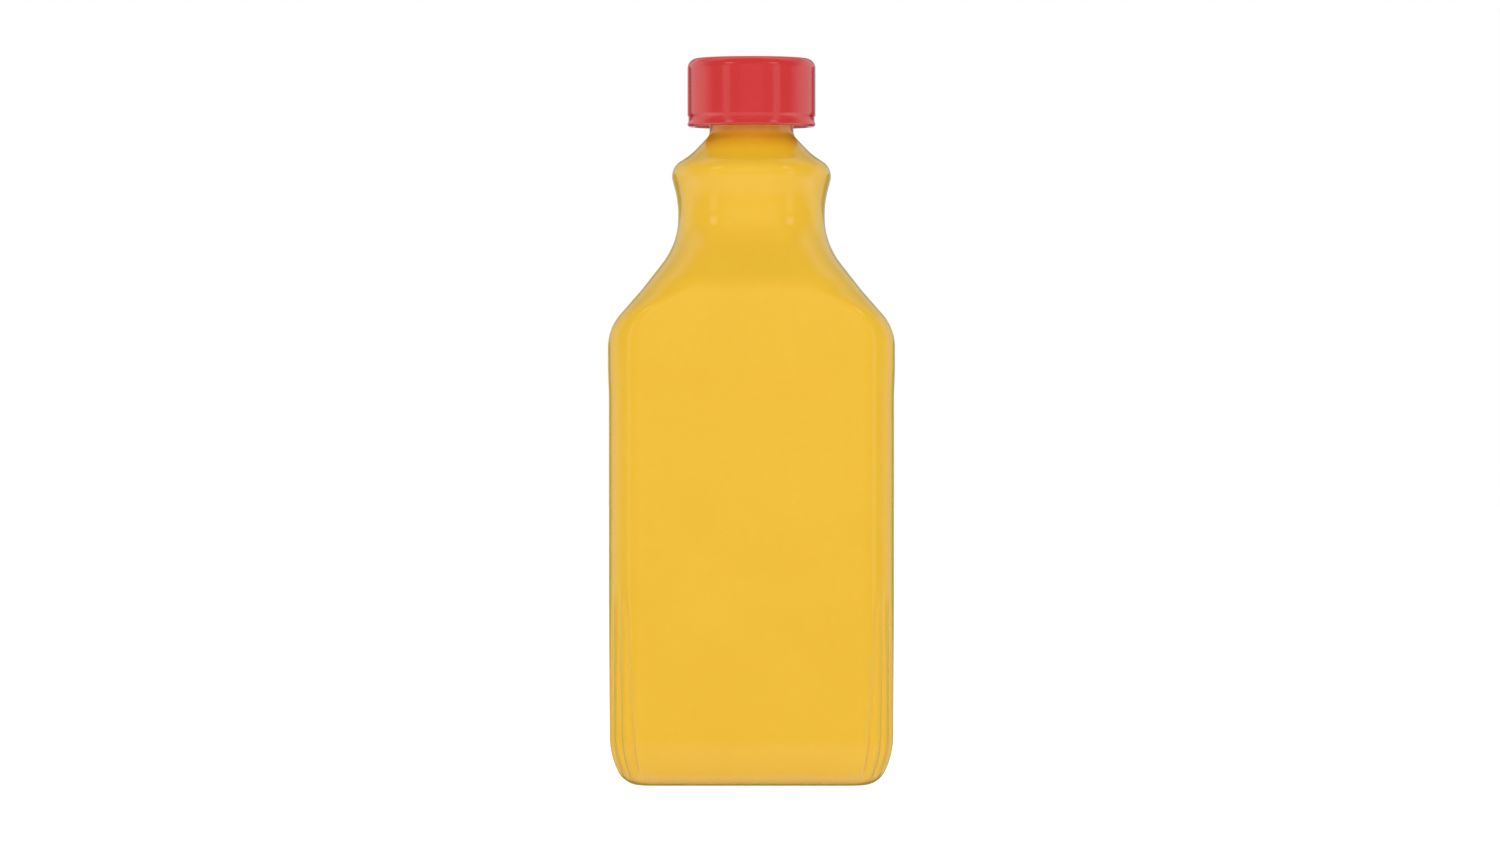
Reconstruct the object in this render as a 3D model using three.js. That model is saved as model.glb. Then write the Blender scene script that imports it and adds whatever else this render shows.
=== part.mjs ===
// A filled juice bottle: a clear flat-fronted bottle, the juice in it and its red screw cap.
// Millimetres, +Z up. The front faces -Y, and the origin is the middle of the base.
import * as THREE from 'three';

// Body, waist, collar, neck and finish: distances from the middle to the outside
const BODY_HALF_WIDTH = 44.7;
const BODY_HALF_DEPTH = 32.8;
const SHOULDER_BULGE = 0.3;
const BASE_TAPER = 0.25;
const WAIST_HALF_WIDTH = 23.05;
const WAIST_HALF_DEPTH = 19.8;
const COLLAR_HALF_WIDTH = 25.85;
const COLLAR_HALF_DEPTH = 22;
const NECK_RADIUS = 13.3;
const FINISH_RADIUS = 17.4;

// Heights
const LIP_TOP = 226.4;
const FILL_LEVEL = 212;
const CAP_BOTTOM = 207.4;
const CAP_TOP = 229.1;

// Walls and clearances
const WALL = 1.2;
const LIP_EDGE = 0.4;
const JUICE_GAP = 0.45;

// The heel turns the wall into the base: a large arc below the straight side, then a small one
const HEEL_SMALL_RADIUS = 8;
const HEEL_LARGE_RADIUS = 26.6;
const HEEL_TURN = THREE.MathUtils.degToRad(25);
const HEEL_NARROWING = 0.4;

// The base stands on a flat ring round a shallow recess. Rows of the recess, and of the floor
// inside the bottle over it: how far in from the ring's outer edge, and how high.
const RECESS_HEIGHT = 3;
const RECESS_RISE = [
  [5, 0],
  [6, 1],
  [9, 2.6],
];
const FLOOR_RISE = [
  [3, 0.2],
  [6, 1.6],
  [9, 2.8],
];

// Flutes in the four lower corners fan out downwards from each corner's middle
const FLUTES = 3;
const FLUTE_DEPTH = 1.15;
const FLUTE_PITCH = 26;
const FLUTE_PITCH_LOSS = 0.28;
const FLUTE_TOP = 66;
const FLUTE_FADE = 14;
const FLUTE_FAN_START = 14;
const FLUTE_FOOT = [1, 6];

// Cap
const CAP_RADIUS = 20.25;
const CAP_WALL = 2.25;
const CAP_LID = 2.3;
const CAP_TOP_ROUNDING = 3.2;
const CAP_BEAD_HEIGHT = 1.7;
const CAP_GROOVE_HEIGHT = 1.8;
const CAP_GROOVE_DEPTH = 0.3;
const CAP_RIM_RADIUS = 0.8;
const CAP_SIDES = 48;

// Sides of a section, counted as points on each rounded corner
const OUTER_CORNER_POINTS = 13;
const INNER_CORNER_POINTS = 8;

// Each row is a corner of a profile: height, distance from the middle, rounding radius
const WIDTH_CORNERS = [
  [0, BODY_HALF_WIDTH - BASE_TAPER, 0],
  [20, BODY_HALF_WIDTH - 0.8 * BASE_TAPER, 400],
  [50, BODY_HALF_WIDTH, 400],
  [122, BODY_HALF_WIDTH, 60],
  [131, BODY_HALF_WIDTH + SHOULDER_BULGE, 60],
  [143.4, BODY_HALF_WIDTH + SHOULDER_BULGE, 16],
  [155.3, 34.7, 60],
  [170.6, WAIST_HALF_WIDTH, 25],
  [183.7, WAIST_HALF_WIDTH, 32],
  [194.2, COLLAR_HALF_WIDTH, 5.5],
  [198.9, 18.7, 20],
  [204.8, NECK_RADIUS, 3],
  [207.8, NECK_RADIUS, 1.5],
  [211.8, FINISH_RADIUS, 1.5],
  [LIP_TOP, FINISH_RADIUS, 0],
];
const DEPTH_CORNERS = [
  [0, BODY_HALF_DEPTH, 0],
  [122, BODY_HALF_DEPTH, 60],
  [131, BODY_HALF_DEPTH + SHOULDER_BULGE, 60],
  [157.2, BODY_HALF_DEPTH + SHOULDER_BULGE, 12],
  [175, WAIST_HALF_DEPTH, 18],
  [184.6, WAIST_HALF_DEPTH, 31],
  [194.2, COLLAR_HALF_DEPTH, 5.5],
  [198.9, 17.5, 20],
  [204.8, NECK_RADIUS, 3],
  [207.8, NECK_RADIUS, 1.5],
  [211.8, FINISH_RADIUS, 1.5],
  [LIP_TOP, FINISH_RADIUS, 0],
];

// Half-widths of the flat stretches between the rounded corners. The front one narrows into an
// arch over the shoulder, and both vanish where the neck becomes round.
const FRONT_FLAT_CORNERS = [
  [0, 34.3, 0],
  [143.5, 34.3, 12],
  [149.3, 31.5, 10],
  [155.6, 18, 8],
  [170, 12, 20],
  [179, 3, 20],
  [193, 2, 30],
  [204.8, 0, 3],
  [LIP_TOP, 0, 0],
];
const SIDE_FLAT_CORNERS = [
  [0, 22.5, 0],
  [148, 22.5, 30],
  [174, 5, 25],
  [184, 2, 40],
  [193, 2, 8],
  [204.8, 0, 3],
  [LIP_TOP, 0, 0],
];

// Rings between the heel and the lip: height of a zone's top, rings outside, rings inside
const ZONES = [
  [FLUTE_TOP, 6, 3],
  [122, 1, 1],
  [131, 2, 1],
  [139, 1, 1],
  [147.6, 4, 3],
  [163.7, 8, 5],
  [179.5, 5, 3],
  [191, 4, 2],
  [197, 5, 3],
  [203.5, 3, 2],
  [206.3, 2, 1],
  [208, 1, 1],
  [FILL_LEVEL, 3, 2],
];

// A profile through rounded corners, as a function of height.
function roundedProfile(corners) {
  const points = corners.map(([z, reach]) => new THREE.Vector2(z, reach));
  const arcs = [];
  for (let i = 1; i < points.length - 1; i++) {
    const radius = corners[i][2];
    const arriving = points[i].clone().sub(points[i - 1]).normalize();
    const leaving = points[i + 1].clone().sub(points[i]).normalize();
    const turn = Math.atan2(arriving.cross(leaving), arriving.dot(leaving));
    const cut = radius * Math.tan(Math.abs(turn) / 2);
    const start = points[i].clone().addScaledVector(arriving, -cut);
    const end = points[i].clone().addScaledVector(leaving, cut);
    const side = Math.sign(turn);
    const inward = new THREE.Vector2(-arriving.y, arriving.x).multiplyScalar(radius * side);
    arcs.push({ from: start.x, to: end.x, centre: start.clone().add(inward), radius, side });
  }
  return (z) => {
    const arc = arcs.find(({ from, to }) => z > from && z < to);
    if (arc) {
      return arc.centre.y - arc.side * Math.sqrt(arc.radius ** 2 - (z - arc.centre.x) ** 2);
    }
    const next = Math.max(1, points.findIndex((point) => point.x >= z));
    const below = points[next - 1];
    const above = points[next];
    return THREE.MathUtils.mapLinear(z, below.x, above.x, below.y, above.y);
  };
}

const halfWidth = roundedProfile(WIDTH_CORNERS);
const halfDepth = roundedProfile(DEPTH_CORNERS);
const frontFlat = roundedProfile(FRONT_FLAT_CORNERS);
const sideFlat = roundedProfile(SIDE_FLAT_CORNERS);

// Height where the heel begins, and how far the base's edge lies inside the side wall
const HEEL_RISE = (HEEL_LARGE_RADIUS - HEEL_SMALL_RADIUS) * Math.sin(HEEL_TURN);
const HEEL_TOP = HEEL_SMALL_RADIUS + HEEL_RISE;
const HEEL_DEPTH = HEEL_LARGE_RADIUS
  - (HEEL_LARGE_RADIUS - HEEL_SMALL_RADIUS) * Math.cos(HEEL_TURN);

// How far the heel draws a wall in at a height, for the outside or a surface inset from it.
function heelInset(z, inset) {
  if (z >= HEEL_TOP) {
    return 0;
  }
  const large = HEEL_LARGE_RADIUS - inset;
  const small = HEEL_SMALL_RADIUS - inset;
  if (z > HEEL_TOP - large * Math.sin(HEEL_TURN)) {
    return large - Math.sqrt(large ** 2 - (HEEL_TOP - z) ** 2);
  }
  return HEEL_DEPTH - inset - Math.sqrt(Math.max(0, small ** 2 - (HEEL_SMALL_RADIUS - z) ** 2));
}

// A horizontal inset that leaves about the wanted thickness where the profile slopes.
function slopedInset(profile, z, inset) {
  const reach = 0.5;
  const slope = (profile(Math.min(z + reach, LIP_TOP)) - profile(Math.max(z - reach, 0))) / (2 * reach);
  return inset * Math.hypot(1, slope);
}

// How far the flutes cut in at an angle round a corner, in degrees from the side, at a height.
// The surfaces behind them are plain and draw in by half the flutes' depth.
function fluteCut(degrees, z, fluted) {
  const fanned = Math.max(z - FLUTE_FAN_START, 0);
  const pitch = FLUTE_PITCH - FLUTE_PITCH_LOSS * fanned;
  const turns = (degrees - 45) / pitch + FLUTES / 2;
  if (z > FLUTE_TOP || turns < 0 || turns > FLUTES) {
    return 0;
  }
  const fadeIn = 1 - THREE.MathUtils.smoothstep(z, FLUTE_TOP - FLUTE_FADE, FLUTE_TOP);
  const fadeOut = THREE.MathUtils.smoothstep(z, ...FLUTE_FOOT);
  const depth = FLUTE_DEPTH * (pitch / FLUTE_PITCH) ** 2 * fadeIn * fadeOut;
  return fluted ? depth * (1 - Math.cos(turns * 2 * Math.PI)) / 2 : depth / 2;
}

// The points of a level section, going round from +X towards +Y.
function section(z, { inset = 0, shrink = 0, cornerPoints, fluted = false }) {
  const heel = heelInset(z, inset);
  const width = halfWidth(z) - slopedInset(halfWidth, z, inset) - heel - shrink;
  const depth = halfDepth(z) - slopedInset(halfDepth, z, inset) - heel - shrink;
  const flatX = Math.max(frontFlat(z) - HEEL_NARROWING * heel - shrink, 0);
  const flatY = Math.max(sideFlat(z) - HEEL_NARROWING * heel - shrink, 0);
  const corner = [];
  for (let i = 0; i < cornerPoints; i++) {
    const degrees = (i + 0.5) * 90 / cornerPoints;
    const angle = THREE.MathUtils.degToRad(degrees);
    const cut = fluteCut(degrees, z, fluted);
    const x = flatX + (width - flatX - cut) * Math.cos(angle);
    const y = flatY + (depth - flatY - cut) * Math.sin(angle);
    corner.push([x, y]);
  }
  const mirrored = (signX, signY) => corner.map(([x, y]) => [signX * x, signY * y]);
  return [
    ...mirrored(1, 1),
    ...mirrored(-1, 1).reverse(),
    ...mirrored(-1, -1),
    ...mirrored(1, -1).reverse(),
  ];
}

// A ring of vertices: a section lifted to a height, which may differ from where it is measured.
function ring(z, shape, height = z) {
  return section(z, shape).map(([x, y]) => new THREE.Vector3(x, y, height));
}

// A closed surface over a row of rings, each of any number of points, down to a single point.
function skin(rings) {
  const positions = [];
  const indices = [];
  const starts = [];
  for (const points of rings) {
    starts.push(positions.length / 3);
    points.forEach((point) => positions.push(...point.toArray()));
  }
  for (let r = 0; r < rings.length - 1; r++) {
    const low = rings[r].length;
    const high = rings[r + 1].length;
    let i = 0;
    let j = 0;
    while (i < low || j < high) {
      const lower = starts[r] + (i % low);
      const upper = starts[r + 1] + (j % high);
      if (j >= high || (i < low && (i + 1) / low <= (j + 1) / high)) {
        if (low > 1) {
          indices.push(lower, starts[r] + ((i + 1) % low), upper);
        }
        i++;
      } else {
        if (high > 1) {
          indices.push(lower, starts[r + 1] + ((j + 1) % high), upper);
        }
        j++;
      }
    }
  }
  const geometry = new THREE.BufferGeometry();
  geometry.setAttribute('position', new THREE.Float32BufferAttribute(positions, 3));
  geometry.setIndex(indices);
  geometry.computeVertexNormals();
  return geometry;
}

const middle = (z) => [new THREE.Vector3(0, 0, z)];

// Heights of the rings on the heel, from the base up, for a surface with an inset.
function heelHeights(inset, smallSteps, largeSteps) {
  const heights = [];
  for (let i = 0; i <= smallSteps; i++) {
    const angle = (Math.PI / 2 - HEEL_TURN) * i / smallSteps;
    heights.push(HEEL_SMALL_RADIUS - (HEEL_SMALL_RADIUS - inset) * Math.cos(angle));
  }
  for (let i = 1; i <= largeSteps; i++) {
    const angle = HEEL_TURN * (1 - i / largeSteps);
    heights.push(HEEL_TOP - (HEEL_LARGE_RADIUS - inset) * Math.sin(angle));
  }
  return heights;
}

// Heights of the rings above the heel, up to where the zones end.
function zoneHeights(column) {
  const heights = [];
  let bottom = HEEL_TOP;
  for (const zone of ZONES) {
    const top = zone[0];
    const count = zone[column];
    for (let i = 1; i <= count; i++) {
      heights.push(THREE.MathUtils.lerp(bottom, top, i / count));
    }
    bottom = top;
  }
  return heights;
}

const OUTSIDE = { cornerPoints: OUTER_CORNER_POINTS, fluted: true };
const INSIDE = { cornerPoints: INNER_CORNER_POINTS, inset: WALL };
const JUICE = { cornerPoints: INNER_CORNER_POINTS, inset: WALL + JUICE_GAP };

// Rings of a floor that rises inwards, from its middle out to the heel.
function floorRings(rows, shape) {
  const bottom = shape.inset ?? 0;
  const rings = rows.map(([shrink, rise]) => ring(bottom, { ...shape, shrink }, bottom + rise));
  return [middle(bottom + RECESS_HEIGHT), ...rings.reverse()];
}

function bottleGeometry() {
  const recess = floorRings(RECESS_RISE, OUTSIDE);
  const outerHeights = [...heelHeights(0, 5, 3), ...zoneHeights(1), LIP_TOP - LIP_EDGE];
  const outer = outerHeights.map((z) => ring(z, OUTSIDE));
  const lip = [
    ring(LIP_TOP, { ...OUTSIDE, shrink: LIP_EDGE }),
    ring(LIP_TOP, { ...INSIDE, shrink: -LIP_EDGE / 2 }),
  ];
  const innerHeights = [...heelHeights(WALL, 3, 2), ...zoneHeights(2), LIP_TOP - LIP_EDGE];
  const inner = innerHeights.map((z) => ring(z, INSIDE)).reverse();
  return skin([...recess, ...outer, ...lip, ...inner, ...floorRings(FLOOR_RISE, INSIDE).reverse()]);
}

function juiceGeometry() {
  const heights = [...heelHeights(JUICE.inset, 3, 2), ...zoneHeights(2)];
  const side = heights.map((z) => ring(z, JUICE));
  return skin([...floorRings(FLOOR_RISE, JUICE), ...side, middle(FILL_LEVEL)]);
}

// Points of an arc, for a turned profile: centre, radius, and angles in degrees.
function arc(centreX, centreY, radius, from, to, steps) {
  return Array.from({ length: steps + 1 }, (_, i) => {
    const angle = THREE.MathUtils.degToRad(THREE.MathUtils.lerp(from, to, i / steps));
    return new THREE.Vector2(centreX + radius * Math.cos(angle), centreY + radius * Math.sin(angle));
  });
}

// The cap is a turned cup with a rounded top edge, and a bead under a shallow groove at its foot.
function capGeometry() {
  const bore = CAP_RADIUS - CAP_WALL;
  const lidBottom = CAP_TOP - CAP_LID;
  const beadTop = CAP_BOTTOM + CAP_BEAD_HEIGHT;
  const grooveTop = beadTop + CAP_GROOVE_HEIGHT;
  const rimCentre = CAP_RADIUS - CAP_RIM_RADIUS;
  const edgeCentre = CAP_RADIUS - CAP_TOP_ROUNDING;
  const profile = [
    new THREE.Vector2(0, lidBottom),
    new THREE.Vector2(bore, lidBottom),
    new THREE.Vector2(bore, CAP_BOTTOM),
    ...arc(rimCentre, CAP_BOTTOM + CAP_RIM_RADIUS, CAP_RIM_RADIUS, -90, 0, 4),
    ...arc(rimCentre, beadTop - CAP_RIM_RADIUS, CAP_RIM_RADIUS, 0, 45, 2),
    new THREE.Vector2(CAP_RADIUS - CAP_GROOVE_DEPTH, beadTop),
    new THREE.Vector2(CAP_RADIUS - CAP_GROOVE_DEPTH, grooveTop - CAP_GROOVE_DEPTH),
    new THREE.Vector2(CAP_RADIUS, grooveTop),
    ...arc(edgeCentre, CAP_TOP - CAP_TOP_ROUNDING, CAP_TOP_ROUNDING, 0, 90, 6),
    new THREE.Vector2(0, CAP_TOP),
  ];
  return new THREE.LatheGeometry(profile, CAP_SIDES).rotateX(Math.PI / 2);
}

function part(name, geometry, material) {
  const mesh = new THREE.Mesh(geometry, new THREE.MeshStandardMaterial(material));
  mesh.name = name;
  return mesh;
}

const juiceBottle = new THREE.Group();
juiceBottle.add(
  part('bottle', bottleGeometry(), {
    color: '#f4f1e6', roughness: 0.08, metalness: 0, transparent: true, opacity: 0.35,
  }),
  part('juice', juiceGeometry(), { color: '#f1c03f', roughness: 0.45, metalness: 0 }),
  part('cap', capGeometry(), { color: '#d34448', roughness: 0.3, metalness: 0 }),
);

export default juiceBottle;
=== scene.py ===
import math

import bpy
import numpy as np
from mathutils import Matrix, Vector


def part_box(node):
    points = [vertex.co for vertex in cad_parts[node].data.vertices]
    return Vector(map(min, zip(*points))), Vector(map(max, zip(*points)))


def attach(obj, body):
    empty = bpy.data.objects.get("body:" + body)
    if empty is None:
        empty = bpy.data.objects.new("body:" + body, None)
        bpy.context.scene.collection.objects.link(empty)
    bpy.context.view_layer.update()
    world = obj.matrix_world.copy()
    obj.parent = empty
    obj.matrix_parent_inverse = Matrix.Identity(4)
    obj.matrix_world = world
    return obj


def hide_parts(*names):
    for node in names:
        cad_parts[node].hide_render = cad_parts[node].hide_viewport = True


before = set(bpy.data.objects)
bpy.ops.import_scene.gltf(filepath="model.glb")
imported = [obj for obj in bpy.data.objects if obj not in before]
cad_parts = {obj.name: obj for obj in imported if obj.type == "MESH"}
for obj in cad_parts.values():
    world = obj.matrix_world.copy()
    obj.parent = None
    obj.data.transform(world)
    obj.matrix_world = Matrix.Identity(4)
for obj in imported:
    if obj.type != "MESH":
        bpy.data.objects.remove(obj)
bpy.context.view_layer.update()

# The juice bottle's looks: a clear bottle, the juice in it and its red screw cap.
# Sizes are in millimetres here and become metres where a mesh or a place is made.
MM = 0.001
cap_low, cap_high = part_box("cap")
bottle_low, bottle_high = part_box("bottle")
juice_low, juice_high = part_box("juice")

# Heights and the cap's reach, from the CAD parts in model.glb
LIP_TOP = bottle_high.z / MM
FILL_LEVEL = juice_high.z / MM
CAP_BOTTOM = cap_low.z / MM
CAP_TOP = cap_high.z / MM
CAP_RADIUS = cap_high.x / MM

# The straight body's height, and distances from the middle to the outside of body, waist,
# collar, neck and finish
BODY_TOP = 122
BODY_HALF_WIDTH = 44.7
BODY_HALF_DEPTH = 32.8
SHOULDER_BULGE = 0.3
BASE_TAPER = 0.25
WAIST_HALF_WIDTH = 23.05
WAIST_HALF_DEPTH = 19.8
COLLAR_HALF_WIDTH = 25.85
COLLAR_HALF_DEPTH = 22
NECK_RADIUS = 13.3
FINISH_RADIUS = 17.4

# The wall, and how far in from the outside the juice begins, just inside the wall
WALL = 1.2
JUICE_INSET = 1.0
LIP_EDGE = 0.4

# The heel turns the wall into the base: a large arc below the straight side, then a small one
HEEL_SMALL_RADIUS = 8
HEEL_LARGE_RADIUS = 26.6
HEEL_TURN = math.radians(25)
HEEL_NARROWING = 0.4

# The base: a flat ring round a domed recess with a small mark in its middle. The reach is how
# far in from the edge the recess follows the outline.
RING_WIDTH = 5
RECESS_HEIGHT = 3
RECESS_EASE = 2.2
RECESS_REACH = 9
GATE_RADIUS = 2.2
GATE_HEIGHT = 0.7

# Flutes in the four lower corners fan out downwards from each corner's middle
FLUTES = 3
FLUTE_DEPTH = 1.15
FLUTE_PITCH = 26
FLUTE_PITCH_LOSS = 0.28
FLUTE_TOP = 66
FLUTE_FADE = 14
FLUTE_FAN_START = 14
FLUTE_FOOT = (1, 6)

# The mould's parting line, a fine ridge up the middle of both narrow sides
SEAM_HEIGHT = 0.1
SEAM_HALF_WIDTHS = (0.12, 0.3, 0.45)
SEAM_SPAN = ((3, 8), (199, 204))

# Cap. The hub is the radius of the innermost ring, under the lid and in the mark on top, and
# the step is the longest way between two rings.
CAP_WALL = 2.25
CAP_LID = 2.3
CAP_TOP_ROUNDING = 3.2
CAP_BEAD_HEIGHT = 1.7
CAP_GROOVE_HEIGHT = 1.8
CAP_GROOVE_DEPTH = 0.3
CAP_RIM_RADIUS = 0.8
CAP_BORE_EDGE = 0.4
CAP_MARK_RADIUS = 1.6
CAP_MARK_DEPTH = 0.2
CAP_HUB = 0.2
CAP_SIDES = 192
CAP_STEP = 0.7

# Where the slope from the cap's bead into its groove has points, as shares of it
BEAD_SHARES = (0.12, 0.88, 1)

CORNER_POINTS = 40

# Each row is a corner of a profile: height, distance from the middle, rounding radius
WIDTH_CORNERS = [
    (0, BODY_HALF_WIDTH - BASE_TAPER, 0),
    (20, BODY_HALF_WIDTH - 0.8 * BASE_TAPER, 400),
    (50, BODY_HALF_WIDTH, 400),
    (BODY_TOP, BODY_HALF_WIDTH, 60),
    (131, BODY_HALF_WIDTH + SHOULDER_BULGE, 60),
    (143.4, BODY_HALF_WIDTH + SHOULDER_BULGE, 16),
    (155.3, 34.7, 60),
    (170.6, WAIST_HALF_WIDTH, 25),
    (183.7, WAIST_HALF_WIDTH, 32),
    (194.2, COLLAR_HALF_WIDTH, 5.5),
    (198.9, 18.7, 20),
    (204.8, NECK_RADIUS, 3),
    (207.8, NECK_RADIUS, 1.5),
    (211.8, FINISH_RADIUS, 1.5),
    (LIP_TOP, FINISH_RADIUS, 0),
]
DEPTH_CORNERS = [
    (0, BODY_HALF_DEPTH, 0),
    (BODY_TOP, BODY_HALF_DEPTH, 60),
    (131, BODY_HALF_DEPTH + SHOULDER_BULGE, 60),
    (157.2, BODY_HALF_DEPTH + SHOULDER_BULGE, 12),
    (175, WAIST_HALF_DEPTH, 18),
    (184.6, WAIST_HALF_DEPTH, 31),
    (194.2, COLLAR_HALF_DEPTH, 5.5),
    (198.9, 17.5, 20),
    (204.8, NECK_RADIUS, 3),
    (207.8, NECK_RADIUS, 1.5),
    (211.8, FINISH_RADIUS, 1.5),
    (LIP_TOP, FINISH_RADIUS, 0),
]

# Half-widths of the flat stretches between the rounded corners. The front one narrows into an
# arch over the shoulder, and both vanish where the neck becomes round.
FRONT_FLAT_CORNERS = [
    (0, 34.3, 0),
    (143.5, 34.3, 12),
    (149.3, 31.5, 10),
    (155.6, 18, 8),
    (170, 12, 20),
    (179, 3, 20),
    (193, 2, 30),
    (204.8, 0, 3),
    (LIP_TOP, 0, 0),
]
SIDE_FLAT_CORNERS = [
    (0, 22.5, 0),
    (148, 22.5, 30),
    (174, 5, 25),
    (184, 2, 40),
    (193, 2, 8),
    (204.8, 0, 3),
    (LIP_TOP, 0, 0),
]

# Rings between the heel and the lip: height of a zone's top, and its rings. The shaped part
# above the body ends where the neck begins, some way below the lip.
NECK_BELOW_LIP = 21.6
ZONES = [(FLUTE_TOP, 42), (BODY_TOP, 14), (LIP_TOP - NECK_BELOW_LIP, 184), (FILL_LEVEL, 18)]
LIP_RINGS = 8

# Rings of the base: how many follow its outline, how far in the outermost of them lies, and
# shares of the innermost one's size for the rings between it and the middle
BASE_RINGS = 36
BASE_RING_START = 0.25
BASE_SHARES = (0.04, 0.07, 0.1, 0.16, 0.3, 0.5, 0.7, 0.87)

# Rings of the juice's top, as shares of its edge, in towards the middle
JUICE_TOP_SHARES = (0.97, 0.8, 0.5, 0.2)


def smoothstep(value, start, end):
    """0 before start, 1 after end, and an even ease between."""
    t = np.clip((value - start) / (end - start), 0, 1)
    return t * t * (3 - 2 * t)


def rounded_profile(corners):
    """A profile through rounded corners, as a function of height."""
    points = [np.array(row[:2], float) for row in corners]
    arcs = []
    for before, here, after, row in zip(points, points[1:], points[2:], corners[1:]):
        radius = row[2]
        arriving = (here - before) / np.linalg.norm(here - before)
        leaving = (after - here) / np.linalg.norm(after - here)
        cross = arriving[0] * leaving[1] - arriving[1] * leaving[0]
        turn = math.atan2(cross, arriving @ leaving)
        cut = radius * math.tan(abs(turn) / 2)
        start = here - arriving * cut
        end = here + leaving * cut
        side = math.copysign(1, turn)
        centre = start + side * radius * np.array((-arriving[1], arriving[0]))
        arcs.append((start[0], end[0], centre, radius, side))
    heights = [point[0] for point in points]
    reaches = [point[1] for point in points]

    def reach(z):
        value = np.interp(z, heights, reaches)
        for start, end, centre, radius, side in arcs:
            rise = np.sqrt(np.clip(radius**2 - (z - centre[0]) ** 2, 0, None))
            value = np.where((z > start) & (z < end), centre[1] - side * rise, value)
        return value

    return reach


half_width = rounded_profile(WIDTH_CORNERS)
half_depth = rounded_profile(DEPTH_CORNERS)
front_flat = rounded_profile(FRONT_FLAT_CORNERS)
side_flat = rounded_profile(SIDE_FLAT_CORNERS)

# Height where the heel begins, and how far the base's edge lies inside the side wall
HEEL_DIFFERENCE = HEEL_LARGE_RADIUS - HEEL_SMALL_RADIUS
HEEL_TOP = HEEL_SMALL_RADIUS + HEEL_DIFFERENCE * math.sin(HEEL_TURN)
HEEL_DEPTH = HEEL_LARGE_RADIUS - HEEL_DIFFERENCE * math.cos(HEEL_TURN)


def heel_inset(z, inset):
    """How far the heel draws in a wall that lies inset from the outside."""
    large = HEEL_LARGE_RADIUS - inset
    small = HEEL_SMALL_RADIUS - inset
    upper = large - np.sqrt(np.clip(large**2 - (HEEL_TOP - z) ** 2, 0, None))
    lower = HEEL_DEPTH - inset - np.sqrt(np.clip(small**2 - (HEEL_SMALL_RADIUS - z) ** 2, 0, None))
    turned = np.where(z > HEEL_TOP - large * math.sin(HEEL_TURN), upper, lower)
    return np.where(z >= HEEL_TOP, 0, turned)


def sloped_inset(profile, z, inset):
    """A horizontal inset that leaves about the wanted thickness where the profile slopes."""
    reach = 0.5
    rise = profile(np.minimum(z + reach, LIP_TOP)) - profile(np.maximum(z - reach, 0))
    return inset * np.hypot(1, rise / (2 * reach))


def flute_cut(degrees, z):
    """How far a flute cuts in, at an angle round a corner from the side and at a height."""
    pitch = FLUTE_PITCH - FLUTE_PITCH_LOSS * np.clip(z - FLUTE_FAN_START, 0, FLUTE_TOP)
    turns = (degrees - 45) / pitch + FLUTES / 2
    fade_in = 1 - smoothstep(z, FLUTE_TOP - FLUTE_FADE, FLUTE_TOP)
    fade_out = smoothstep(z, *FLUTE_FOOT)
    depth = FLUTE_DEPTH * (pitch / FLUTE_PITCH) ** 2 * fade_in * fade_out
    cut = depth * (1 - np.cos(turns * 2 * math.pi)) / 2
    return np.where((turns < 0) | (turns > FLUTES), 0, cut)


def quarter(z, inset, shrink, seam):
    """The points of level sections from the middle of the +X side to the +Y side, at heights z."""
    z = np.asarray(z, float)[:, None]
    heel = heel_inset(z, inset)
    width = half_width(z) - sloped_inset(half_width, z, inset) - heel - shrink
    depth = half_depth(z) - sloped_inset(half_depth, z, inset) - heel - shrink
    flat_x = np.clip(front_flat(z) - HEEL_NARROWING * heel - shrink, 0, None)
    flat_y = np.clip(side_flat(z) - HEEL_NARROWING * heel - shrink, 0, None)
    degrees = (np.arange(CORNER_POINTS) + 0.5) * 90 / CORNER_POINTS
    cut = flute_cut(degrees[None, :], z)
    angle = np.radians(degrees)[None, :]
    x = flat_x + (width - flat_x - cut) * np.cos(angle)
    y = flat_y + (depth - flat_y - cut) * np.sin(angle)
    (foot_from, foot_to), (top_from, top_to) = SEAM_SPAN
    shown = smoothstep(z, foot_from, foot_to) * (1 - smoothstep(z, top_from, top_to))
    crest = width + seam * SEAM_HEIGHT * shown
    # Where the narrow side's flat stretch vanishes, the seam's points move closer together
    narrow = np.minimum(1, y[:, :1] / (2 * SEAM_HALF_WIDTHS[1]))
    seam_y = narrow * np.array(SEAM_HALF_WIDTHS)
    return np.hstack([crest, width, width, x]), np.hstack([seam_y, y])


def rings(z, inset=0.0, shrink=0.0, seam=0.0, lift=0.0):
    """Rows of points round the bottle at heights z, raised by lift, from +X towards +Y."""
    x, y = quarter(z, inset, shrink, seam)
    loop_x = np.hstack([x, -x[:, ::-1], -x, x[:, ::-1]])
    loop_y = np.hstack([y, y[:, ::-1], -y, -y[:, ::-1]])
    loop_z = np.broadcast_to(np.asarray(z, float)[:, None] + lift, loop_x.shape)
    return np.stack([loop_x, loop_y, loop_z], axis=2)


def heel_heights(inset, small_steps=24, large_steps=16):
    """Heights of the rings on the heel, from the base up."""
    small = np.linspace(0, math.pi / 2 - HEEL_TURN, small_steps + 1)
    large = HEEL_TURN * (1 - np.arange(1, large_steps + 1) / large_steps)
    return np.concatenate([
        HEEL_SMALL_RADIUS - (HEEL_SMALL_RADIUS - inset) * np.cos(small),
        HEEL_TOP - (HEEL_LARGE_RADIUS - inset) * np.sin(large),
    ])


def zone_heights():
    """Heights of the rings above the heel, up to the fill level."""
    bottom = HEEL_TOP
    parts = []
    for top, count in ZONES:
        parts.append(np.linspace(bottom, top, count + 1)[1:])
        bottom = top
    return np.concatenate(parts)


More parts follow.
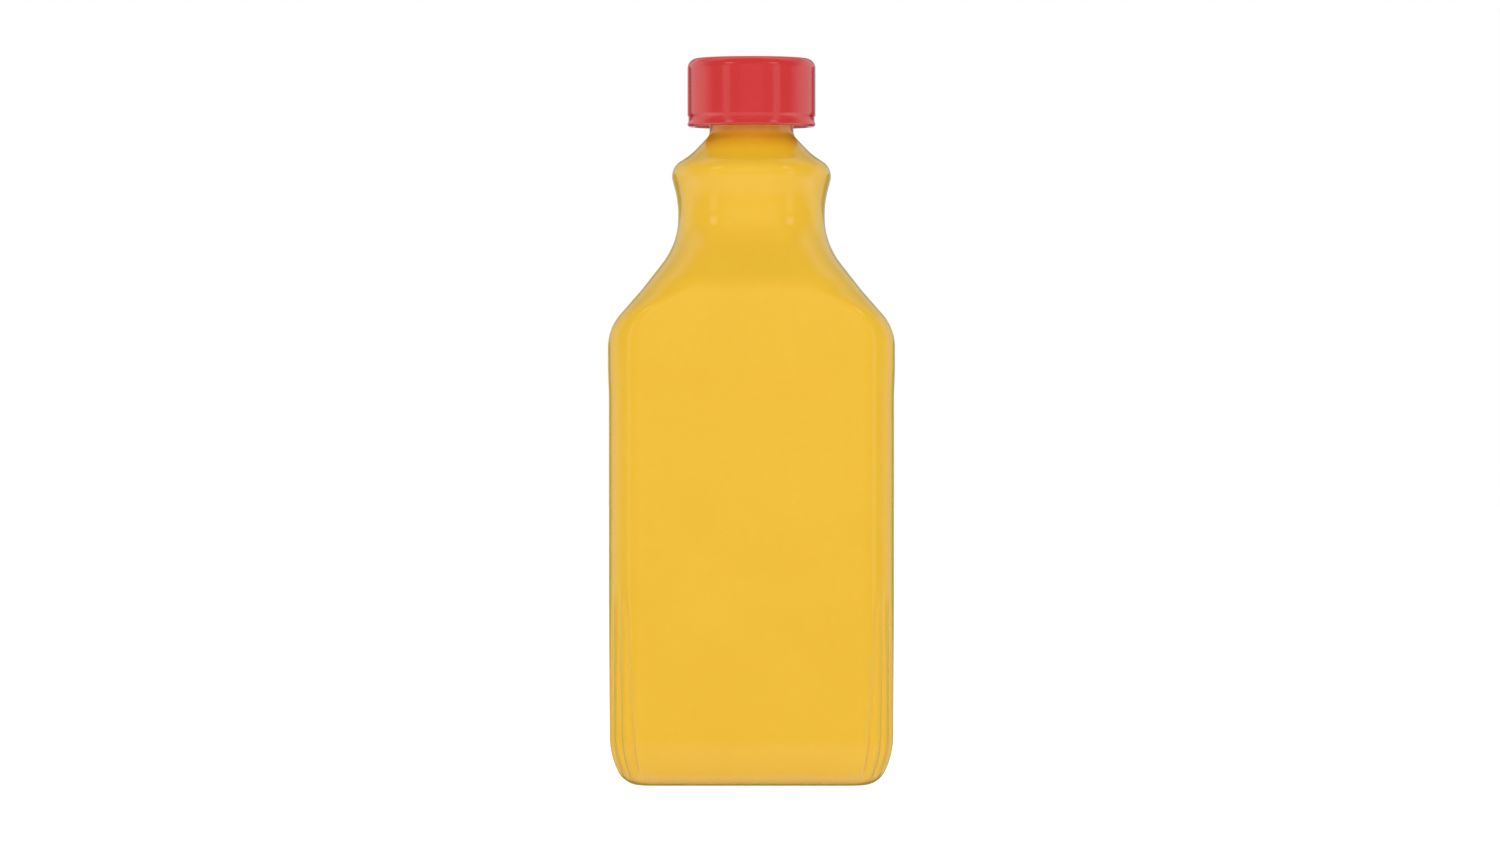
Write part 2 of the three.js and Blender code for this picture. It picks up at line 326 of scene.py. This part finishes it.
def recess_rise(distance):
    """How high the base lies above its ring, at a distance in from the ring's outer edge."""
    return RECESS_HEIGHT * (1 - np.exp(-np.clip(distance - RING_WIDTH, 0, None) / RECESS_EASE))


def floor_rings(inset, gate):
    """The base's middle point, and its rings outwards. gate is 1 for a mark in the middle."""
    bottom = max(inset, 0.0)
    outer = []
    for shrink in np.linspace(RECESS_REACH, BASE_RING_START, BASE_RINGS):
        outer += list(rings([bottom], inset=inset, shrink=shrink, lift=recess_rise(shrink + inset)))
    edge = outer[0]
    edge_rise = edge[0, 2] - bottom
    centre = bottom + RECESS_HEIGHT
    reach = np.hypot(edge[:, 0], edge[:, 1]).max()
    inner = []
    for share in BASE_SHARES:
        level = bottom + edge_rise + (RECESS_HEIGHT - edge_rise) * (1 - share**2)
        scaled = edge * (share, share, 0)
        mark = gate * GATE_HEIGHT * (1 - smoothstep(share * reach, GATE_RADIUS / 2, GATE_RADIUS))
        scaled[:, 2] = level - mark
        inner.append(scaled)
    return np.array([0, 0, centre - gate * GATE_HEIGHT]), np.array(inner + outer)


def closed_mesh(name, first, loops, last):
    """A closed mesh over rows of points in millimetres, from a first point to a last one."""
    rows, count, _ = loops.shape
    corners = np.vstack([loops.reshape(-1, 3), first, last]) * MM
    index = np.arange(rows * count).reshape(rows, count)
    around = np.roll(index, -1, axis=1)
    sides = np.stack([index[:-1], around[:-1], around[1:], index[1:]], axis=2).reshape(-1, 4)
    start, end = rows * count, rows * count + 1
    faces = sides.tolist()
    faces += [(start, b, a) for a, b in zip(index[0].tolist(), around[0].tolist())]
    faces += [(end, a, b) for a, b in zip(index[-1].tolist(), around[-1].tolist())]
    mesh = bpy.data.meshes.new(name)
    mesh.from_pydata(corners.tolist(), [], faces)
    mesh.shade_smooth()
    piece = bpy.data.objects.new(name, mesh)
    bpy.context.scene.collection.objects.link(piece)
    return piece


def bottle_mesh():
    """The bottle's wall: up the outside from the base, over the lip and down the inside."""
    recess_middle, recess = floor_rings(0.0, gate=1)
    heights = np.concatenate([heel_heights(0.0), zone_heights()])
    lip_start = LIP_TOP - LIP_EDGE
    finish = np.linspace(FILL_LEVEL, lip_start, LIP_RINGS + 1)[1:]
    outside = rings(np.concatenate([heights, finish]), seam=1)
    lip = np.concatenate([
        rings([LIP_TOP], shrink=LIP_EDGE),
        rings([LIP_TOP], inset=WALL, shrink=-LIP_EDGE / 2),
    ])
    inner_heel = heel_heights(WALL, small_steps=12, large_steps=8)
    inside = rings(np.concatenate([inner_heel, zone_heights()[::2], finish]), inset=WALL)[::-1]
    floor_middle, floor = floor_rings(WALL, gate=0)
    loops = np.concatenate([recess, outside, lip, inside, floor[::-1]])
    return closed_mesh("bottle_shell", recess_middle, loops, floor_middle)


def juice_mesh():
    """The juice, from just inside the wall, up to its level."""
    middle, floor = floor_rings(JUICE_INSET, gate=0)
    heights = np.concatenate([heel_heights(JUICE_INSET), zone_heights()])
    side = rings(heights, inset=JUICE_INSET)
    top = np.array([side[-1] * (share, share, 1) for share in JUICE_TOP_SHARES])
    loops = np.concatenate([floor, side, top])
    return closed_mesh("juice_fill", middle, loops, np.array([0, 0, FILL_LEVEL]))


def arc(centre_x, centre_y, radius, start, end, steps):
    """Points of an arc for a turned profile, between angles in degrees."""
    angles = np.radians(np.linspace(start, end, steps + 1))
    return [(centre_x + radius * math.cos(a), centre_y + radius * math.sin(a)) for a in angles]


def stepped(profile, step):
    """The profile with points added, so that no two lie further apart than the step."""
    points = [profile[0]]
    for (x0, y0), (x1, y1) in zip(profile, profile[1:]):
        along, up = x1 - x0, y1 - y0
        count = max(1, math.ceil(math.hypot(along, up) / step))
        points += [(x0 + along * i / count, y0 + up * i / count) for i in range(1, count + 1)]
    return points


def cap_mesh():
    """The cap, turned: bore, rim, bead, groove, side, rounded top edge, and a mark on top."""
    bore = CAP_RADIUS - CAP_WALL
    lid_bottom = CAP_TOP - CAP_LID
    bead_top = CAP_BOTTOM + CAP_BEAD_HEIGHT
    bead_bottom = CAP_BOTTOM + CAP_RIM_RADIUS
    bead_slope = bead_top - bead_bottom
    groove_top = bead_top + CAP_GROOVE_HEIGHT
    rim_centre = CAP_RADIUS - CAP_RIM_RADIUS
    edge_centre = CAP_RADIUS - CAP_TOP_ROUNDING
    groove_radius = CAP_RADIUS - CAP_GROOVE_DEPTH
    profile = [
        (CAP_HUB, lid_bottom),
        (bore - CAP_BORE_EDGE, lid_bottom),
        *arc(bore - CAP_BORE_EDGE, lid_bottom - CAP_BORE_EDGE, CAP_BORE_EDGE, 90, 0, 4),
        (bore, CAP_BOTTOM + CAP_BORE_EDGE),
        *arc(bore + CAP_BORE_EDGE, CAP_BOTTOM + CAP_BORE_EDGE, CAP_BORE_EDGE, 180, 270, 5),
        *arc(rim_centre, bead_bottom, CAP_RIM_RADIUS, -90, 0, 10),
        *[(CAP_RADIUS - CAP_GROOVE_DEPTH * t, bead_bottom + bead_slope * t) for t in BEAD_SHARES],
        (groove_radius, groove_top - CAP_GROOVE_DEPTH),
        (CAP_RADIUS, groove_top),
        *arc(edge_centre, CAP_TOP - CAP_TOP_ROUNDING, CAP_TOP_ROUNDING, 0, 90, 20),
        (CAP_MARK_RADIUS + CAP_MARK_DEPTH, CAP_TOP),
        (CAP_MARK_RADIUS, CAP_TOP - CAP_MARK_DEPTH),
        (CAP_HUB, CAP_TOP - CAP_MARK_DEPTH),
    ]
    profile = [p for p, q in zip(profile, profile[1:] + [None]) if p != q]
    radii, heights = np.array(stepped(profile, CAP_STEP)).T
    angles = np.arange(CAP_SIDES) * 2 * math.pi / CAP_SIDES
    loops = np.stack([
        radii[:, None] * np.cos(angles),
        radii[:, None] * np.sin(angles),
        np.broadcast_to(heights[:, None], (len(heights), CAP_SIDES)),
    ], axis=2)
    under_lid = np.array([0, 0, lid_bottom])
    return closed_mesh("screw_cap", under_lid, loops, np.array([0, 0, CAP_TOP - CAP_MARK_DEPTH]))


class Nodes:
    """A short way to add and join the nodes of one node tree."""

    def __init__(self, tree):
        self.tree = tree
        tree.nodes.clear()

    def put(self, socket, value):
        """Links a socket to another node's output, or sets its value."""
        if isinstance(value, bpy.types.NodeSocket):
            self.tree.links.new(value, socket)
        else:
            socket.default_value = value

    def add(self, kind, settings=None, **inputs):
        """Adds a node. Names of inputs have underscores for their spaces."""
        node = self.tree.nodes.new(kind)
        for name, value in (settings or {}).items():
            setattr(node, name, value)
        for name, value in inputs.items():
            self.put(node.inputs[name.replace("_", " ")], value)
        return node

    def in_order(self, node, *values):
        """Puts values into a node's first inputs, and gives its first output."""
        for socket, value in zip(node.inputs, values):
            self.put(socket, value)
        return node.outputs[0]

    def noise(self, vector, scale, detail=2.0, roughness=0.5):
        inputs = {"Vector": vector, "Scale": scale, "Detail": detail, "Roughness": roughness}
        return self.add("ShaderNodeTexNoise", **inputs).outputs["Fac"]

    def math(self, operation, *values):
        return self.in_order(self.add("ShaderNodeMath", {"operation": operation}), *values)

    def mix_shaders(self, factor, first, second):
        return self.in_order(self.add("ShaderNodeMixShader"), factor, first, second)

    def blend(self, factor, first, second):
        """A colour between two others."""
        node = self.add("ShaderNodeMix", {"data_type": "RGBA"})
        sockets = {socket.identifier: socket for socket in (*node.inputs, *node.outputs)}
        self.put(sockets["Factor_Float"], factor)
        self.put(sockets["A_Color"], first)
        self.put(sockets["B_Color"], second)
        return sockets["Result_Color"]

    def ramp(self, factor, stops):
        node = self.add("ShaderNodeValToRGB", Fac=factor)
        ramp = node.color_ramp
        ramp.elements[0].position, ramp.elements[0].color = stops[0]
        ramp.elements[1].position, ramp.elements[1].color = stops[-1]
        for position, tone in stops[1:-1]:
            ramp.elements.new(position).color = tone
        return node.outputs["Color"]

    def range(self, value, low, high, start=0.0, end=1.0):
        """Low where the value is start, high where it is end, and even between."""
        node = self.add("ShaderNodeMapRange", Value=value)
        numbers = {"From Min": start, "From Max": end, "To Min": low, "To Max": high}
        for name, number in numbers.items():
            node.inputs[name].default_value = number
        return node.outputs["Result"]

    def bump(self, height, strength, distance):
        inputs = {"Height": height, "Strength": strength, "Distance": distance}
        return self.add("ShaderNodeBump", **inputs).outputs["Normal"]


def material(name):
    """A new material, and the means to fill its node tree."""
    made = bpy.data.materials.new(name)
    made.use_nodes = True
    return made, Nodes(made.node_tree)


def colour(red, green, blue):
    return (red, green, blue, 1.0)


WHITE = colour(1, 1, 1)

# The clear wall's tint, from where it is seen face on to where it is seen edge on. It is partly the
# longer way through the wall there, and partly painted shade that darkens the wall towards the
# outline
EDGE_SHADE_TINTS = [
    (0.0, colour(1.0, 1.0, 1.0)),
    (0.4, colour(0.97, 0.98, 0.98)),
    (0.55, colour(0.86, 0.91, 0.96)),
    (0.7, colour(0.72, 0.83, 0.93)),
    (0.85, colour(0.64, 0.78, 0.86)),
    (1.0, colour(0.6, 0.74, 0.7)),
]


def clear_plastic():
    """Clear plastic with a slight waviness. Light reaches the juice straight through it."""
    made, nodes = material("clear_plastic")
    place = nodes.add("ShaderNodeTexCoord").outputs["Object"]
    waves = nodes.noise(place, scale=60.0)
    haze = nodes.noise(place, scale=250.0)
    # Painted shade: the wall's colour darkens where it is seen edge on, towards the outline
    facing = nodes.add("ShaderNodeLayerWeight", Blend=0.5).outputs["Facing"]
    edge_shade_tint = nodes.ramp(facing, EDGE_SHADE_TINTS)
    plastic = nodes.add(
        "ShaderNodeBsdfPrincipled",
        Base_Color=edge_shade_tint,
        Roughness=nodes.range(haze, low=0.09, high=0.14),
        IOR=1.5,
        Transmission_Weight=1.0,
        Normal=nodes.bump(waves, strength=0.2, distance=0.0012),
    )
    open_way = nodes.add("ShaderNodeBsdfTransparent", Color=WHITE).outputs[0]
    path = nodes.add("ShaderNodeLightPath")
    mixed = plastic.outputs[0]
    for ray in ("Is Diffuse Ray", "Is Shadow Ray"):
        mixed = nodes.mix_shaders(path.outputs[ray], mixed, open_way)
    nodes.add("ShaderNodeOutputMaterial", Surface=mixed)
    return made


# Tones by how cloudy the juice is. Under the cap it turns darker and redder over this span of
# heights:
# painted shade from the cap and painted red light bounced off it.
JUICE_TONES = [
    (0.3, colour(0.85, 0.503, 0.019)),
    (0.5, colour(0.864, 0.516, 0.023)),
    (0.7, colour(0.878, 0.53, 0.027)),
]
DRIFT_SHARE = 0.6
JUICE_CAP_SHADE = colour(0.86, 0.32, 0.03)
JUICE_CAP_SHADE_SPAN = (199.5, 208.5)


def juice():
    """Cloudy yellow juice: soft drifts of pulp and fine flecks."""
    made, nodes = material("juice")
    place = nodes.add("ShaderNodeTexCoord").outputs["Object"]
    drift = nodes.noise(place, scale=35.0, detail=3.0)
    flecks = nodes.noise(place, scale=1400.0, roughness=0.6)
    flecks_part = nodes.math("MULTIPLY", flecks, 1 - DRIFT_SHARE)
    cloud = nodes.math("MULTIPLY_ADD", drift, DRIFT_SHARE, flecks_part)
    tone = nodes.ramp(cloud, JUICE_TONES)
    height = nodes.add("ShaderNodeSeparateXYZ", Vector=place).outputs["Z"]
    # Painted shade and painted red bounce light from the cap, on the juice just under it
    cap_shade_share = nodes.range(height, 0.0, 1.0, *[z * MM for z in JUICE_CAP_SHADE_SPAN])
    body = nodes.add(
        "ShaderNodeBsdfPrincipled",
        Base_Color=nodes.blend(cap_shade_share, tone, JUICE_CAP_SHADE),
        Roughness=nodes.range(drift, low=0.45, high=0.6),
        Specular_IOR_Level=0.1,
        Subsurface_Weight=0.3,
        Subsurface_Radius=(1.0, 0.45, 0.1),
        Subsurface_Scale=0.002,
        Normal=nodes.bump(flecks, strength=0.1, distance=0.0002),
    )
    nodes.add("ShaderNodeOutputMaterial", Surface=body.outputs[0])
    return made


CAP_TONES = [
    (0.3, colour(0.62, 0.021, 0.022)),
    (0.7, colour(0.65, 0.025, 0.027)),
]


def cap_plastic():
    """Red moulded plastic with a fine orange peel."""
    made, nodes = material("cap_plastic")
    place = nodes.add("ShaderNodeTexCoord").outputs["Object"]
    broad = nodes.noise(place, scale=45.0, detail=3.0)
    haze = nodes.noise(place, scale=300.0, detail=3.0)
    peel = nodes.noise(place, scale=1500.0)
    plastic = nodes.add(
        "ShaderNodeBsdfPrincipled",
        Base_Color=nodes.ramp(broad, CAP_TONES),
        Roughness=nodes.range(haze, low=0.1, high=0.14),
        IOR=1.5,
        Specular_IOR_Level=0.62,
        Subsurface_Weight=0.1,
        Subsurface_Radius=(1.0, 0.2, 0.1),
        Subsurface_Scale=0.001,
        Normal=nodes.bump(peel, strength=0.06, distance=0.0002),
    )
    nodes.add("ShaderNodeOutputMaterial", Surface=plastic.outputs[0])
    return made


def dress(piece, paint, node):
    """Gives a piece its material, puts it in the root body, and hides the CAD node it stands for.
    """
    piece.data.materials.append(paint)
    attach(piece, "root")
    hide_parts(node)


# The camera: level, facing the front. The lens is for Blender's 36 mm wide sensor.
CAMERA_DISTANCE = 2500
CAMERA_HEIGHT = 114.2
CAMERA_OFFSET = -0.47
LENS = 189.6


def add_camera():
    """The photo's view, from the front."""
    data = bpy.data.cameras.new("camera")
    data.lens = LENS
    camera = bpy.data.objects.new("camera", data)
    camera.location = (CAMERA_OFFSET * MM, -CAMERA_DISTANCE * MM, CAMERA_HEIGHT * MM)
    camera.rotation_euler = (math.radians(90), 0, 0)
    bpy.context.scene.collection.objects.link(camera)
    bpy.context.scene.camera = camera


# The floor in metres. Its glow is stronger for the camera, which sees it white.
FLOOR_RADIUS = 8.0
FLOOR_SIDES = 96
FLOOR_GAP = 0.0001
FLOOR_TONES = [
    (0.3, colour(0.44, 0.44, 0.44)),
    (0.7, colour(0.47, 0.47, 0.47)),
]
FLOOR_GLOW = 0.4
FLOOR_GLOW_SEEN = 0.85


def add_floor():
    """A plain pale floor, just under the base. Reflections show the room without it."""
    angles = [2 * math.pi * i / FLOOR_SIDES for i in range(FLOOR_SIDES)]
    rim = [(FLOOR_RADIUS * math.cos(a), FLOOR_RADIUS * math.sin(a), -FLOOR_GAP) for a in angles]
    mesh = bpy.data.meshes.new("floor")
    mesh.from_pydata(rim, [], [tuple(range(FLOOR_SIDES))])
    floor = bpy.data.objects.new("floor", mesh)
    bpy.context.scene.collection.objects.link(floor)
    made, nodes = material("floor")
    place = nodes.add("ShaderNodeTexCoord").outputs["Object"]
    tone = nodes.ramp(nodes.noise(place, scale=3.0), FLOOR_TONES)
    paint = nodes.add("ShaderNodeBsdfDiffuse", Color=tone)
    path = nodes.add("ShaderNodeLightPath")
    strength = nodes.range(path.outputs["Is Camera Ray"], FLOOR_GLOW, FLOOR_GLOW_SEEN)
    glow = nodes.add("ShaderNodeEmission", Color=WHITE, Strength=strength)
    both = nodes.in_order(nodes.add("ShaderNodeAddShader"), paint.outputs[0], glow.outputs[0])
    nodes.add("ShaderNodeOutputMaterial", Surface=both)
    mesh.materials.append(made)
    floor.visible_glossy = False


# The studio's soft light, and its brightness as reflections show it: a level, and what parts of
# the room add to it: the back, what is above, a window in the top, the table below and the
# bottle's shade on it, boxes beside the bottle, and the backdrop's foot at the horizon. Each
# span is where a part begins and where it is full, along the room's depth (-1 front to 1 back)
# or its height (-1 below to 1 above). The boxes' ends lean with height by the two leans.
ROOM_LIGHT = 0.47
ROOM_LEVEL = 0.42
ROOM_BACK = -0.48
ROOM_ABOVE = -0.08
ROOM_ABOVE_SPAN = (0.1, 0.45)
ROOM_TOP = 0.8
ROOM_TOP_FRONT = (-0.1, 0.3)
ROOM_TOP_SPAN = (0.6, 0.85)
ROOM_BELOW = 0.6
ROOM_BELOW_SPAN = (-0.1, -0.35)
ROOM_BELOW_BACK = (0.45, -0.1)
ROOM_SHADE = -0.3
ROOM_SHADE_BACK = (0.25, 0.55)
ROOM_BOXES = 0.75
ROOM_BOXES_FRONT = (-0.05, 0.35)
ROOM_BOXES_BACK = (0.73, 0.64)
ROOM_BOXES_TOP = (0.75, 0.45)
ROOM_BACK_LEAN = -0.22
ROOM_BACK_LEAN_SPAN = (0.0, 0.12)
ROOM_FRONT_LEAN = 0.45
ROOM_FRONT_LEAN_SPAN = (0.3, -0.15)
ROOM_HORIZON = 0.6
ROOM_HORIZON_BACK = (0.85, 0.97)
ROOM_HORIZON_TOP = (0.5, 0.04)


def add_world():
    """A white studio. Reflections show it dark behind the bottle, with soft boxes beside it."""
    world = bpy.data.worlds.new("studio")
    bpy.context.scene.world = world
    world.use_nodes = True
    nodes = Nodes(world.node_tree)
    direction = nodes.add("ShaderNodeTexCoord").outputs["Generated"]
    split = nodes.add("ShaderNodeSeparateXYZ", Vector=direction)
    depth, height = split.outputs["Y"], split.outputs["Z"]

    def span(value, ends):
        return nodes.range(value, 0.0, 1.0, *ends)

    def both(first, second):
        return nodes.math("MULTIPLY", first, second)

    behind = nodes.math("MAXIMUM", depth, 0.0)
    back_lean = nodes.range(height, 0.0, ROOM_BACK_LEAN, *ROOM_BACK_LEAN_SPAN)
    front_lean = nodes.range(height, 0.0, ROOM_FRONT_LEAN, *ROOM_FRONT_LEAN_SPAN)
    from_front = span(nodes.math("ADD", depth, front_lean), ROOM_BOXES_FRONT)
    to_back = span(nodes.math("ADD", depth, back_lean), ROOM_BOXES_BACK)
    beside = both(from_front, to_back)
    level = ROOM_LEVEL
    for part, weight in (
        (both(behind, behind), ROOM_BACK),
        (span(height, ROOM_ABOVE_SPAN), ROOM_ABOVE),
        (both(span(height, ROOM_TOP_SPAN), span(depth, ROOM_TOP_FRONT)), ROOM_TOP),
        (both(span(height, ROOM_BELOW_SPAN), span(depth, ROOM_BELOW_BACK)), ROOM_BELOW),
        (both(span(height, ROOM_BELOW_SPAN), span(depth, ROOM_SHADE_BACK)), ROOM_SHADE),
        (both(beside, span(height, ROOM_BOXES_TOP)), ROOM_BOXES),
        (both(span(depth, ROOM_HORIZON_BACK), span(height, ROOM_HORIZON_TOP)), ROOM_HORIZON),
    ):
        level = nodes.math("MULTIPLY_ADD", part, weight, level)
    level = nodes.math("MAXIMUM", level, 0.0)

    def background(strength):
        return nodes.add("ShaderNodeBackground", Color=WHITE, Strength=strength).outputs[0]

    path = nodes.add("ShaderNodeLightPath")
    lit, mirrored, white = background(ROOM_LIGHT), background(level), background(1.0)
    shown = nodes.mix_shaders(path.outputs["Is Glossy Ray"], lit, mirrored)
    shown = nodes.mix_shaders(path.outputs["Is Camera Ray"], shown, white)
    nodes.add("ShaderNodeOutputWorld", Surface=shown)


# Lamps: angle round the bottle and angle above the table in degrees, distance, width and height
# in metres, power in watts, and whether it shows in reflections. The broad ones light the bottle
# from all round, the small ones make highlights, and the upright ones make faint streaks.
LAMPS = [
    ("lamp_front", 0, 18, 2.2, 1.6, 1.6, 21.3, False),
    ("lamp_side_left", -112, 20, 2.2, 1.2, 1.2, 6.5, False),
    ("lamp_side_right", 112, 20, 2.2, 1.2, 1.2, 6.5, False),
    ("lamp_back", 180, 25, 2.2, 1.6, 1.6, 15.0, False),
    ("lamp_left", -46, 38, 1.8, 0.4, 0.55, 0.9, True),
    ("lamp_right", 46, 38, 1.8, 0.4, 0.55, 0.9, True),
    ("strip_left", -46, 4, 1.8, 0.42, 1.0, 0.75, True),
    ("strip_right", 46, 4, 1.8, 0.42, 1.0, 0.75, True),
]

# The height that the lamps face, in metres
LAMP_TARGET = 0.13


def add_lamps():
    """Area lamps round the bottle, all facing it."""
    for name, azimuth, elevation, distance, width, height, power, mirrored in LAMPS:
        data = bpy.data.lights.new(name, "AREA")
        data.shape = "RECTANGLE"
        data.size = width
        data.size_y = height
        data.energy = power
        lamp = bpy.data.objects.new(name, data)
        a, e = math.radians(azimuth), math.radians(elevation)
        lamp.location = (
            distance * math.sin(a) * math.cos(e),
            -distance * math.cos(a) * math.cos(e),
            LAMP_TARGET + distance * math.sin(e),
        )
        lamp.rotation_euler = (math.radians(90) - e, 0, a)
        lamp.visible_camera = False
        lamp.visible_glossy = mirrored
        bpy.context.scene.collection.objects.link(lamp)


bpy.context.scene.view_settings.view_transform = "Standard"
dress(bottle_mesh(), clear_plastic(), "bottle")
dress(juice_mesh(), juice(), "juice")
dress(cap_mesh(), cap_plastic(), "cap")
add_floor()
add_world()
add_lamps()
add_camera()
